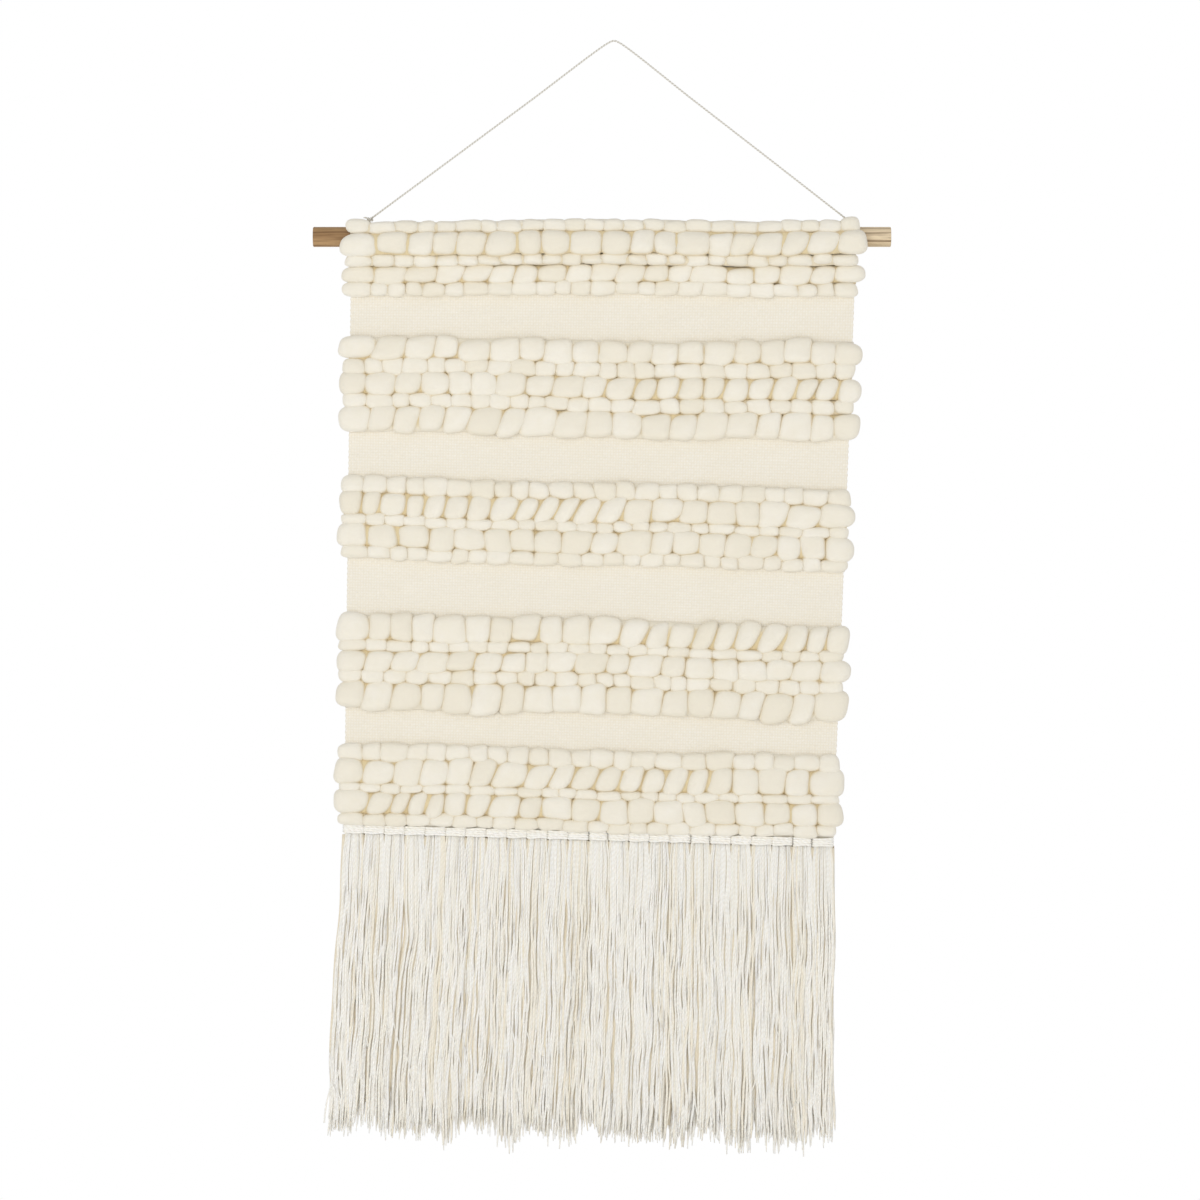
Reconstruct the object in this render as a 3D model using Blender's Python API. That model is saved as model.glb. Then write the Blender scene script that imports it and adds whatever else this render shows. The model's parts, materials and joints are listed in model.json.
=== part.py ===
"""Tapestry wall hanging: a cream weaving of plump roving rows and plain ground, with a tassel fringe.

It hangs from a wooden dowel through the pocket at its top, and the dowel hangs from a cotton cord.
Metres, +Z up. The front faces -Y and +X is to the viewer's right. The origin is the underside of the
cord's highest bend, where it rests on its hook.
"""

import math

import bpy
import bmesh
from mathutils import Vector

for old in list(bpy.data.objects):
    bpy.data.objects.remove(old, do_unlink=True)

# ---------------------------------------------------------------- driving dimensions, in metres

DOWEL_RADIUS = 0.010
DOWEL_LENGTH = 0.5775
DOWEL_MIDDLE = -0.012        # where the dowel's middle stands along X
DOWEL_CHAMFER = 0.0006

CLOTH_TOP_MIDDLE = -0.010    # where the middle of the cloth stands at the dowel
CLOTH_TOP_WIDTH = 0.505
CLOTH_BOTTOM_WIDTH = 0.4885
CLOTH_THICKNESS = 0.0024
CLOTH_LEAN = -0.0155         # how far the middle of the bottom edge has moved along X
WEFT_DROP = 0.014            # how much lower a weft's right end hangs than its left end
WEFT_DROP_START = 0.030      # depth below the dowel where the wefts begin to drop
WEFT_DROP_FULL = 0.240       # depth where they reach the full drop

POCKET_SLACK = 0.0012        # room round the dowel inside its pocket
SEAM_DEPTH = 0.0144          # from the pocket's round down to the stitched seam that closes it

# Heights of the five bands of roving rows, top row first, and of the plain ground above each band.
BAND_1_TOP = -0.015          # the first row starts this far above the dowel's axis
BAND_ROWS = (
    (0.0110, 0.0220, 0.0110, 0.0170, 0.0120),
    (0.0210, 0.0145, 0.0210, 0.0135, 0.0240),
    (0.0150, 0.0225, 0.0100, 0.0210, 0.0115),
    (0.0235, 0.0105, 0.0185, 0.0135, 0.0250),
    (0.0150, 0.0235, 0.0090, 0.0210, 0.0110),
)
GROUND_HEIGHTS = (0.0465, 0.0490, 0.0570, 0.0385)
HEM = 0.0035                 # strip of ground below the last row, which the tassels are knotted on

ROVING_FRONT = 0.0140        # how far a roving row stands in front of the cloth
ROVING_BACK = 0.0040         # the flat float behind the cloth
ROVING_SIDE = 0.0050         # the turn round the selvedge
POCKET_ROW_DEPTH = 0.0135    # thickness of the rows laid over the pocket

CORD_RADIUS = 0.0010
KNOT_RADIUS = 0.0032
KNOT_SEAT = 0.0007           # how far the knots stand off the cloth
LOOP_CLEARANCE = 0.0005      # room round the tie's loop, which presses into the pocket's lining

FRINGE_LENGTH = 0.3105       # from the cloth's bottom edge to the tassels' ends
TASSEL_COUNT = 24
TASSEL_HEAD = 0.0110         # height of the knotted head
TASSEL_HEAD_DEPTH = 0.0094
TASSEL_DEPTH = 0.0080
FRINGE_FLARE = 0.018         # how far the fringe's left edge spreads at its ends

GAP = 0.0003                 # clearance between pieces that touch
FOLD_GAP = 0.0020            # slack in the cloth at each fold line
FRINGE_GAP = 0.0014          # slack between the cloth's bottom edge and the tassels' heads
TASSEL_GAP = 0.0004

# The cord's route, from knot to knot over the hook.
CORD_ROUTE = (
    (-0.2412, 0.0, -0.1754),
    (-0.1620, 0.0, -0.1169),
    (-0.0835, 0.0, -0.0588),
    (-0.0047, 0.0, -0.0005),
    (0.0000, 0.0, 0.0010),
    (0.0049, 0.0, -0.0006),
    (0.0800, 0.0, -0.0588),
    (0.1550, 0.0, -0.1169),
    (0.2302, 0.0, -0.1754),
)
CORD_STEPS = (12, 12, 12, 3, 3, 12, 12, 12)

# ---------------------------------------------------------------- worked out from them

HALF = CLOTH_THICKNESS / 2
POCKET_BORE = DOWEL_RADIUS + POCKET_SLACK
POCKET_OUTSIDE = POCKET_BORE + CLOTH_THICKNESS
POCKET_SEAM = POCKET_OUTSIDE + SEAM_DEPTH
LOOP_RADIUS = DOWEL_RADIUS + GAP + CORD_RADIUS
GROOVE_RADIUS = LOOP_RADIUS + CORD_RADIUS + LOOP_CLEARANCE
FACE = HALF + GAP            # a row's inner face stands this far from the cloth's middle plane

# Depths below the dowel's axis: (top, bottom) of every row, and of the ground between the bands.
ROW_SPANS = []
GROUND_SPANS = []
depth = BAND_1_TOP
for band, heights in enumerate(BAND_ROWS):
    spans = []
    for height in heights:
        spans.append((depth, depth + height))
        depth += height
    ROW_SPANS.append(spans)
    if band < len(GROUND_HEIGHTS):
        GROUND_SPANS.append((depth, depth + GROUND_HEIGHTS[band]))
        depth += GROUND_HEIGHTS[band]
CLOTH_BOTTOM = depth + HEM
FOLDS = [(top + bottom) / 2 for top, bottom in GROUND_SPANS]


def knot_beyond(end, before):
    """The centre of the knot that stops the cord, just past its end."""
    end = Vector(end)
    return end + (end - Vector(before)).normalized() * (KNOT_RADIUS + GAP)


KNOTS = [knot_beyond(CORD_ROUTE[0], CORD_ROUTE[1]), knot_beyond(CORD_ROUTE[-1], CORD_ROUTE[-2])]
TIE_PLACES = [knot.x for knot in KNOTS]
KNOT_Z = (KNOTS[0].z + KNOTS[1].z) / 2
KNOT_HEIGHT = POCKET_OUTSIDE + KNOT_SEAT + KNOT_RADIUS
DOWEL_Z = KNOT_Z - KNOT_HEIGHT


def part_way(value, start, full):
    """How far value lies from start to full, kept from 0 to 1."""
    return min(1.0, max(0.0, (value - start) / (full - start)))


def hang(u, y, depth, beyond=0.0):
    """The point a share u of the way across the cloth, at a depth below the dowel's axis."""
    fall = depth / CLOTH_BOTTOM
    middle = CLOTH_TOP_MIDDLE + CLOTH_LEAN * fall
    width = CLOTH_TOP_WIDTH + (CLOTH_BOTTOM_WIDTH - CLOTH_TOP_WIDTH) * fall
    drop = WEFT_DROP * part_way(depth, WEFT_DROP_START, WEFT_DROP_FULL) * (u - 0.5)
    return Vector((middle + width * (u - 0.5) + beyond, y, DOWEL_Z - depth - drop))


# ---------------------------------------------------------------- bodies and materials

BODY_ORIGINS = {
    "hanger": Vector((0.0, 0.0, 0.0)),
    "header": Vector((0.0, 0.0, KNOT_Z)),
    "dowel_body": Vector((DOWEL_MIDDLE, 0.0, DOWEL_Z)),
    "panel_2": hang(0.5, 0.0, FOLDS[0]),
    "panel_3": hang(0.5, 0.0, FOLDS[1]),
    "panel_4": hang(0.5, 0.0, FOLDS[2]),
    "panel_5": hang(0.5, 0.0, FOLDS[3]),
    "fringe": hang(0.5, 0.0, CLOTH_BOTTOM + FRINGE_GAP / 2),
}
BODY_PARENTS = {
    "header": "hanger",
    "dowel_body": "header",
    "panel_2": "header",
    "panel_3": "panel_2",
    "panel_4": "panel_3",
    "panel_5": "panel_4",
    "fringe": "panel_5",
}
GROUP_OF_BAND = ("header", "panel_2", "panel_3", "panel_4", "panel_5")

WOOD = ((0.45, 0.29, 0.15, 1.0), 0.62)
COTTON_CORD = ((0.87, 0.85, 0.79, 1.0), 0.85)
ROVING = ((0.86, 0.80, 0.69, 1.0), 0.95)
GROUND = ((0.81, 0.76, 0.66, 1.0), 0.92)
FRINGE_YARN = ((0.84, 0.80, 0.71, 1.0), 0.90)

body_empties = {}
for name, origin in BODY_ORIGINS.items():
    empty = bpy.data.objects.new(name + "_axis", None)
    bpy.context.collection.objects.link(empty)
    empty.empty_display_size = 0.02
    parent = BODY_PARENTS.get(name)
    if parent:
        empty.parent = body_empties[parent]
        empty.location = origin - BODY_ORIGINS[parent]
    else:
        empty.location = origin
    body_empties[name] = empty


def finish_piece(piece, look, body):
    """Gives a piece its own material and hangs it from its body's empty."""
    colour, roughness = look
    material = bpy.data.materials.new(piece.name)
    material.use_nodes = True
    shader = material.node_tree.nodes["Principled BSDF"]
    shader.inputs["Base Color"].default_value = colour
    shader.inputs["Roughness"].default_value = roughness
    shader.inputs["Metallic"].default_value = 0.0
    material.diffuse_color = colour
    piece.data.materials.clear()
    piece.data.materials.append(material)
    piece.parent = body_empties[body]
    return piece


def mesh_piece(name, points, faces, look, body, sharp_angle=50):
    """A closed mesh from world points, with its origin on its body's joint axis."""
    origin = BODY_ORIGINS[body]
    mesh = bpy.data.meshes.new(name)
    mesh.from_pydata([tuple(p - origin) for p in points], [], faces)
    work = bmesh.new()
    work.from_mesh(mesh)
    bmesh.ops.recalc_face_normals(work, faces=work.faces)
    work.to_mesh(mesh)
    work.free()
    mesh.shade_smooth()
    mesh.set_sharp_from_angle(angle=math.radians(sharp_angle))
    piece = bpy.data.objects.new(name, mesh)
    bpy.context.collection.objects.link(piece)
    return finish_piece(piece, look, body)


def skin(sections, ring=False):
    """Points and faces stretched over sections with equal counts: end to end, or round a ring."""
    count = len(sections[0])
    points = [p for section in sections for p in section]
    faces = []
    spans = len(sections) if ring else len(sections) - 1
    for i in range(spans):
        a = i * count
        b = (i + 1) % len(sections) * count
        for j in range(count):
            k = (j + 1) % count
            faces.append((a + j, a + k, b + k, b + j))
    if not ring:
        last = (len(sections) - 1) * count
        faces.append(tuple(range(count)))
        faces.append(tuple(range(last, last + count)))
    return points, faces


# ---------------------------------------------------------------- dowel


def build_dowel():
    """A turned rod along X with its end edges broken."""
    half = DOWEL_LENGTH / 2
    stations = (
        (-half, DOWEL_RADIUS - DOWEL_CHAMFER),
        (-half + DOWEL_CHAMFER, DOWEL_RADIUS),
        (half - DOWEL_CHAMFER, DOWEL_RADIUS),
        (half, DOWEL_RADIUS - DOWEL_CHAMFER),
    )
    sides = 32
    origin = BODY_ORIGINS["dowel_body"]
    sections = []
    for x, radius in stations:
        turn = [2 * math.pi * i / sides for i in range(sides)]
        circle = [Vector((x, radius * math.cos(a), radius * math.sin(a))) for a in turn]
        sections.append([origin + p for p in circle])
    mesh_piece("dowel", *skin(sections), WOOD, "dowel_body", sharp_angle=30)


# ---------------------------------------------------------------- hanging cord and its ties


def smooth_route(route, steps):
    """Points along a smooth curve through the route's own points, some in each span."""
    knots = [Vector(p) for p in route]
    knots = [2 * knots[0] - knots[1]] + knots + [2 * knots[-1] - knots[-2]]
    points = []
    for i, count in enumerate(steps):
        p0, p1, p2, p3 = knots[i:i + 4]
        t1 = (p1 - p0).length ** 0.5
        t2 = t1 + (p2 - p1).length ** 0.5
        t3 = t2 + (p3 - p2).length ** 0.5
        for step in range(count):
            t = t1 + (t2 - t1) * step / count
            a1 = p0.lerp(p1, t / t1)
            a2 = p1.lerp(p2, (t - t1) / (t2 - t1))
            a3 = p2.lerp(p3, (t - t2) / (t3 - t2))
            b1 = a1.lerp(a2, t / t2)
            b2 = a2.lerp(a3, (t - t1) / (t3 - t1))
            points.append(b1.lerp(b2, (t - t1) / (t2 - t1)))
    points.append(knots[-2])
    return points


def build_cord():
    """The cord from knot to knot over the hook, as a round tube."""
    points = smooth_route(CORD_ROUTE, CORD_STEPS)
    curve = bpy.data.curves.new("hanging_cord", "CURVE")
    curve.dimensions = "3D"
    curve.bevel_depth = CORD_RADIUS
    curve.bevel_resolution = 2
    curve.use_fill_caps = True
    spline = curve.splines.new("POLY")
    spline.points.add(len(points) - 1)
    for spot, p in zip(spline.points, points):
        spot.co = (*p, 1.0)
    cord = bpy.data.objects.new("hanging_cord", curve)
    bpy.context.collection.objects.link(cord)
    finish_piece(cord, COTTON_CORD, "hanger")


def boolean(piece, other, operation):
    """Applies one exact Boolean to a piece and clears the other object away."""
    modifier = piece.modifiers.new(operation.title(), "BOOLEAN")
    modifier.operation = operation
    modifier.solver = "EXACT"
    modifier.object = other
    bpy.context.view_layer.update()
    graph = bpy.context.evaluated_depsgraph_get()
    result = bpy.data.meshes.new_from_object(piece.evaluated_get(graph))
    piece.modifiers.clear()
    piece.data = result
    bpy.data.objects.remove(other, do_unlink=True)


def rod_mesh(name, low, high, radius, sides):
    """A plain closed rod between two heights on the Z axis through low's x and y."""
    sections = []
    for z in (low.z, high.z):
        turn = [2 * math.pi * (i + 0.5) / sides for i in range(sides)]
        circle = [Vector((low.x + radius * math.cos(a), low.y + radius * math.sin(a), z)) for a in turn]
        sections.append(circle)
    points, faces = skin(sections)
    mesh = bpy.data.meshes.new(name)
    mesh.from_pydata([tuple(p) for p in points], [], faces)
    work = bmesh.new()
    work.from_mesh(mesh)
    bmesh.ops.recalc_face_normals(work, faces=work.faces)
    work.to_mesh(mesh)
    work.free()
    rod = bpy.data.objects.new(name, mesh)
    bpy.context.collection.objects.link(rod)
    return rod


def build_tie(name, x):
    """A loop of cord round the dowel, a short neck up through the cloth, and the knot on top."""
    origin = BODY_ORIGINS["header"]
    sections = []
    turns = 24
    sides = 8
    for i in range(turns):
        a = 2 * math.pi * i / turns
        out = Vector((0.0, math.cos(a), math.sin(a)))
        ring = []
        for j in range(sides):
            b = 2 * math.pi * j / sides
            across = CORD_RADIUS * math.cos(b) * out + Vector((CORD_RADIUS * math.sin(b), 0.0, 0.0))
            ring.append(Vector((x, 0.0, DOWEL_Z)) + LOOP_RADIUS * out + across)
        sections.append(ring)
    tie = mesh_piece(name, *skin(sections, ring=True), COTTON_CORD, "header", sharp_angle=60)
    foot = Vector((x, 0.0, DOWEL_Z + LOOP_RADIUS)) - origin
    top = Vector((x, 0.0, KNOT_Z)) - origin
    neck = rod_mesh(name + "_neck", foot, top, CORD_RADIUS * 0.95, sides)
    neck.parent = body_empties["header"]
    boolean(tie, neck, "UNION")
    knot_mesh = bpy.data.meshes.new(name + "_knot")
    work = bmesh.new()
    bmesh.ops.create_uvsphere(work, u_segments=14, v_segments=9, radius=KNOT_RADIUS)
    work.to_mesh(knot_mesh)
    work.free()
    knot = bpy.data.objects.new(name + "_knot", knot_mesh)
    bpy.context.collection.objects.link(knot)
    knot.parent = body_empties["header"]
    knot.location = top
    boolean(tie, knot, "UNION")
    tie.data.shade_smooth()
    tie.data.set_sharp_from_angle(angle=math.radians(60))


# ---------------------------------------------------------------- woven ground


def pocket_section(bore):
    """Pairs of (outer, inner) points in (y, depth) round the pocket, from its front foot over the top."""
    reach = math.hypot(HALF, POCKET_SEAM)
    wedge = math.atan2(POCKET_SEAM, HALF) - math.acos(POCKET_OUTSIDE / reach)
    steps = 20
    pairs = []
    for i in range(steps + 1):
        a = math.pi + wedge - (math.pi + 2 * wedge) * i / steps
        outer = (POCKET_OUTSIDE * math.cos(a), -POCKET_OUTSIDE * math.sin(a))
        inner = (bore * math.cos(a), -bore * math.sin(a))
        pairs.append((outer, inner))
    apex = (0.0, POCKET_BORE / math.sin(wedge))
    return pairs, apex


def build_header_cloth():
    """The top panel of cloth, folded over and stitched into a pocket for the dowel."""
    bottom = FOLDS[0] - FOLD_GAP / 2
    half_groove = CORD_RADIUS + GAP
    # Stations from edge to edge: where each stands along X (the edges follow the cloth), and its bore.
    stations = [(None, 0.0, POCKET_BORE)]
    for x in TIE_PLACES:
        stations.append((x - half_groove - GAP, None, POCKET_BORE))
        stations.append((x - half_groove, None, GROOVE_RADIUS))
        stations.append((x + half_groove, None, GROOVE_RADIUS))
        stations.append((x + half_groove + GAP, None, POCKET_BORE))
    stations.append((None, 1.0, POCKET_BORE))

    def pocket_point(x, u, y, d):
        """A point at a fixed place along X, or on the cloth's own edge."""
        if u is None:
            left = hang(0.0, y, d).x
            u = (x - left) / (hang(1.0, y, d).x - left)
        return hang(u, y, d)

    loops = []
    for x, u, bore in stations:
        pairs, apex = pocket_section(bore)
        outer = [pocket_point(x, u, y, d) for (y, d), _ in pairs]
        inner = [pocket_point(x, u, y, d) for _, (y, d) in pairs]
        inner.append(pocket_point(x, u, *apex))
        tail = ((HALF, POCKET_SEAM), (HALF, bottom), (-HALF, bottom), (-HALF, POCKET_SEAM))
        outer += [pocket_point(x, u, y, d) for y, d in tail]
        loops.append((outer, inner))
    outer_count = len(loops[0][0])
    inner_count = len(loops[0][1])
    count = outer_count + inner_count
    points = [p for outer, inner in loops for p in outer + inner]
    faces = []
    for i in range(len(loops) - 1):
        a = i * count
        b = a + count
        for j in range(outer_count):
            k = (j + 1) % outer_count
            faces.append((a + j, a + k, b + k, b + j))
        for j in range(inner_count):
            k = (j + 1) % inner_count
            a_in = a + outer_count
            b_in = b + outer_count
            faces.append((a_in + j, b_in + j, b_in + k, a_in + k))
    arc = inner_count - 1
    for start in (0, (len(loops) - 1) * count):
        inner = start + outer_count
        apex = inner + arc
        for j in range(arc - 1):
            faces.append((start + j, start + j + 1, inner + j + 1, inner + j))
        back_foot = start + arc
        front_foot = start + outer_count - 1
        faces.append((start + arc - 1, back_foot, apex, inner + arc - 1))
        faces.append((front_foot, start, inner, apex))
        faces.append((back_foot, front_foot, apex))
        faces.append((back_foot, back_foot + 1, back_foot + 2, front_foot))
    cloth = mesh_piece("woven_ground_1", points, faces, GROUND, "header", sharp_angle=40)
    origin = BODY_ORIGINS["header"]
    for x in TIE_PLACES:
        low = Vector((x, 0.0, DOWEL_Z + DOWEL_RADIUS)) - origin
        high = Vector((x, 0.0, DOWEL_Z + POCKET_OUTSIDE + KNOT_RADIUS)) - origin
        hole = rod_mesh("cord_hole", low, high, CORD_RADIUS + GAP + GAP, 12)
        hole.parent = body_empties["header"]
        boolean(cloth, hole, "DIFFERENCE")
    cloth.data.shade_smooth()
    cloth.data.set_sharp_from_angle(angle=math.radians(40))


def build_cloth_panel(number, top, bottom):
    """A flat panel of cloth between two fold lines."""
    steps = 4
    sections = []
    for i in range(steps + 1):
        d = top + (bottom - top) * i / steps
        corners = ((0.0, -HALF), (1.0, -HALF), (1.0, HALF), (0.0, HALF))
        sections.append([hang(u, y, d) for u, y in corners])
    body = GROUP_OF_BAND[number - 1]
    mesh_piece(f"woven_ground_{number}", *skin(sections), GROUND, body, sharp_angle=40)


# ---------------------------------------------------------------- roving rows

# Cross-section of a roving row: (share of its thickness, share of its half height).
ROW_SECTION = (
    (0.00, -0.86),
    (0.00, 0.86),
    (0.35, 0.99),
    (0.75, 0.80),
    (1.00, 0.36),
    (1.00, -0.36),
    (0.75, -0.80),
    (0.35, -0.99),
)


def build_ring_row(name, top, bottom, body):
    """A roving row woven round the cloth: plump in front, a flat float behind, turned at each edge."""
    high = top + GAP / 2
    low = bottom - GAP / 2
    front = -FACE - ROVING_FRONT
    cheek = -FACE - ROVING_FRONT * 0.4
    back = FACE + ROVING_BACK
    side = GAP + ROVING_SIDE
    # Stations round the cloth: share across, then (beyond the edge, y) of the inner and outer face.
    stations = (
        (0.0, (0.006, -FACE), (0.005, front)),
        (0.5, (0.0, -FACE), (0.0, front)),
        (1.0, (-0.006, -FACE), (-0.005, front)),
        (1.0, (GAP, -FACE), (side, cheek)),
        (1.0, (GAP, FACE), (side, FACE)),
        (1.0, (-0.004, FACE), (-0.004, back)),
        (0.0, (0.004, FACE), (0.004, back)),
        (0.0, (-GAP, FACE), (-side, FACE)),
        (0.0, (-GAP, -FACE), (-side, cheek)),
    )
    sections = []
    for u, inner, outer in stations:
        section = []
        for thick, tall in ROW_SECTION:
            beyond = inner[0] + (outer[0] - inner[0]) * thick
            y = inner[1] + (outer[1] - inner[1]) * thick
            d = (high + low) / 2 - tall * (low - high) / 2
            section.append(hang(u, y, d, beyond))
        sections.append(section)
    mesh_piece(name, *skin(sections, ring=True), ROVING, body)


def build_pocket_row(name, outline, body):
    """A roving row laid over the pocket, from its outline in (y, depth), with rounded ends."""
    middle_y = sum(y for y, _ in outline) / len(outline)
    middle_d = sum(d for _, d in outline) / len(outline)
    sections = []
    for u, beyond, swell in ((0, -0.004, 0.35), (0, 0.001, 0.85), (0, 0.008, 1.0),
                             (1, -0.008, 1.0), (1, -0.001, 0.85), (1, 0.004, 0.35)):
        section = []
        for y, d in outline:
            y_in = middle_y + (y - middle_y) * swell
            d_in = middle_d + (d - middle_d) * swell
            section.append(hang(u, y_in, d_in, beyond))
        sections.append(section)
    mesh_piece(name, *skin(sections), ROVING, body)


def round_outline(middle_y, middle_d, half_y, half_d, sides):
    """An ellipse in (y, depth)."""
    turn = [2 * math.pi * (i + 0.5) / sides for i in range(sides)]
    return [(middle_y + half_y * math.cos(a), middle_d + half_d * math.sin(a)) for a in turn]


def pocket_front(d):
    """How far in front of the dowel's axis the pocket's face stands at a depth."""
    reach = math.hypot(HALF, POCKET_SEAM)
    wedge = math.atan2(POCKET_SEAM, HALF) - math.acos(POCKET_OUTSIDE / reach)
    if d <= POCKET_OUTSIDE * math.sin(wedge):
        return math.sqrt(max(0.0, POCKET_OUTSIDE ** 2 - d ** 2))
    return max(HALF, (POCKET_OUTSIDE - d * math.sin(wedge)) / math.cos(wedge))


def hugging_outline(top, bottom):
    """A plump outline whose back follows the pocket's face between two depths."""
    high = top + GAP / 2
    low = bottom - GAP / 2
    steps = 6
    back = []
    for i in range(steps + 1):
        d = high + (low - high) * i / steps
        back.append((-pocket_front(d) - 2 * GAP, d))
    face = min(y for y, _ in back) - POCKET_ROW_DEPTH
    middle = (high + low) / 2
    half = (low - high) / 2
    front = []
    for thick, tall in ((0.55, 0.97), (0.85, 0.72), (1.0, 0.3), (1.0, -0.3), (0.85, -0.72), (0.55, -0.97)):
        base = -pocket_front(middle + tall * half)
        front.append((base + (face - base) * thick, middle + tall * half))
    return back + front


def build_pocket_rows():
    """The three rows that cover the pocket's front."""
    spans = ROW_SPANS[0]
    top, bottom = spans[0]
    half = (bottom - top - GAP) / 2
    middle = (top + bottom) / 2
    clear = POCKET_OUTSIDE + 2 * GAP + half
    forward = math.sqrt(max(0.0, clear ** 2 - middle ** 2))
    build_pocket_row("band1_row1", round_outline(-forward, middle, half, half, 10), "header")
    build_pocket_row("band1_row2", hugging_outline(*spans[1]), "header")
    build_pocket_row("band1_row3", hugging_outline(*spans[2]), "header")


# ---------------------------------------------------------------- fringe


def fringe_edge(index, drop):
    """X of the line between tassels, index from 0 to the count, at a drop below the cloth."""
    u = index / TASSEL_COUNT
    top = hang(u, 0.0, CLOTH_BOTTOM).x
    return top - FRINGE_FLARE * drop / FRINGE_LENGTH * (1.0 - u)


def build_tassel(number):
    """One tassel: a knotted head under the cloth's edge and a flat hank of yarn below it."""
    uneven = 0.006 * math.sin(2.3 * number) + 0.003 * math.sin(5.1 * number + 1.0)
    length = FRINGE_LENGTH - FRINGE_GAP - 0.009 + uneven
    # Share down the hank, share of the width, and thickness.
    stations = (
        (0.0, 0.70, TASSEL_HEAD_DEPTH * 0.62),
        (TASSEL_HEAD * 0.25 / length, 1.0, TASSEL_HEAD_DEPTH),
        (TASSEL_HEAD * 0.75 / length, 1.0, TASSEL_HEAD_DEPTH),
        (TASSEL_HEAD / length, 0.86, TASSEL_DEPTH * 0.8),
        (0.35, 1.0, TASSEL_DEPTH),
        (0.80, 1.0, TASSEL_DEPTH * 0.9),
        (1.0, 0.8, TASSEL_DEPTH * 0.5),
    )
    sections = []
    for share, wide, thick in stations:
        drop = FRINGE_GAP + share * length
        left = fringe_edge(number - 1, drop) + TASSEL_GAP / 2
        right = fringe_edge(number, drop) - TASSEL_GAP / 2
        middle = (left + right) / 2
        half = (right - left) / 2 * wide
        u = (number - 0.5) / TASSEL_COUNT
        section = []
        for across, deep in ((-1, 0), (-0.7, -1), (0.7, -1), (1, 0), (0.7, 1), (-0.7, 1)):
            z = hang(u, 0.0, CLOTH_BOTTOM + drop).z
            if share == 0.0:
                edge = (middle + half * across - hang(0.0, 0.0, CLOTH_BOTTOM).x) / CLOTH_BOTTOM_WIDTH
                z = hang(edge, 0.0, CLOTH_BOTTOM + FRINGE_GAP).z
            section.append(Vector((middle + half * across, thick / 2 * deep, z)))
        sections.append(section)
    mesh_piece(f"tassel_{number:02d}", *skin(sections), FRINGE_YARN, "fringe")


# ---------------------------------------------------------------- the whole hanging

build_dowel()
build_cord()
build_tie("cord_tie_left", TIE_PLACES[0])
build_tie("cord_tie_right", TIE_PLACES[1])

build_header_cloth()
panel_edges = FOLDS + [CLOTH_BOTTOM + FOLD_GAP / 2]
for number in range(2, 6):
    build_cloth_panel(number, panel_edges[number - 2] + FOLD_GAP / 2, panel_edges[number - 1] - FOLD_GAP / 2)

build_pocket_rows()
for band, spans in enumerate(ROW_SPANS):
    for row, (top, bottom) in enumerate(spans):
        if band > 0 or row > 2:
            build_ring_row(f"band{band + 1}_row{row + 1}", top, bottom, GROUP_OF_BAND[band])

for number in range(1, TASSEL_COUNT + 1):
    build_tassel(number)
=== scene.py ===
"""Looks of the tapestry wall hanging: roving, ground cloth, tassels, cord, dowel and studio."""

import json
import math
from collections import namedtuple

import bpy
import numpy as np
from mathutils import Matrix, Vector


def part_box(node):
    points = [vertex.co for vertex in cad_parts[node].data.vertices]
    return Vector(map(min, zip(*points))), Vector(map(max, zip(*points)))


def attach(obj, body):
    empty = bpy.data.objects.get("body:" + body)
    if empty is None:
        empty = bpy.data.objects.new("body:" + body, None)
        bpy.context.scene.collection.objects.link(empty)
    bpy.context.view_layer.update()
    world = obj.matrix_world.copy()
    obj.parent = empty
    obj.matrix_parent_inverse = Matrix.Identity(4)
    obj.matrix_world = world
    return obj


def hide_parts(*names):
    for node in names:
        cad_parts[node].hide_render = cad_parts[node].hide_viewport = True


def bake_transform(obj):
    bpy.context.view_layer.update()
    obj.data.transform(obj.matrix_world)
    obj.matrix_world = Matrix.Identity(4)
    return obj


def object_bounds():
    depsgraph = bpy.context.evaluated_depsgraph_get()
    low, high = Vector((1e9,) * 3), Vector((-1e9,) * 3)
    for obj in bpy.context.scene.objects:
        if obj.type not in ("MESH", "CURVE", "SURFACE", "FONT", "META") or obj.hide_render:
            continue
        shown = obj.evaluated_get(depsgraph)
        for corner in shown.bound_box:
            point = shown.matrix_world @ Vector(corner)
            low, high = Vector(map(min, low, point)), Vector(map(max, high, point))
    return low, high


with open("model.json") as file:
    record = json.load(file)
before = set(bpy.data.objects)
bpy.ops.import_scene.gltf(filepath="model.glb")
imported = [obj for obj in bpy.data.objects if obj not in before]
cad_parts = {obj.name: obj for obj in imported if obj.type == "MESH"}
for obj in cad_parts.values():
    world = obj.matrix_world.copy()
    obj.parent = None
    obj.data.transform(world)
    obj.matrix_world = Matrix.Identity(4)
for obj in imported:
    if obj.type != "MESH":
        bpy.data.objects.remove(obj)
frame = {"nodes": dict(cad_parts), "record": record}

cad_box = [list(corner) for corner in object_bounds()]
rng = np.random.default_rng(7)
PI = math.pi

# ---- sizes, in metres

WARP_PITCH = 0.0027
WEFT_PITCH = 0.0028
CLOTH_THICK = 0.0024
CLOTH_HALF = CLOTH_THICK / 2
EDGE_TURN = 0.0053            # how far a row's CAD solid stands past the cloth's edge
SEAM_BELOW_ROUND = 0.0144     # from the pocket's round down to its seam
CORD_DIAMETER = 0.0020
PLY_TURN = 0.0062             # one full twist of the two-ply cord
YARN_TURN = 0.0052            # one full twist of the fringe's yarn
THICK_ROW = 0.016             # rows taller than this are puffs, the others beads

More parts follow.
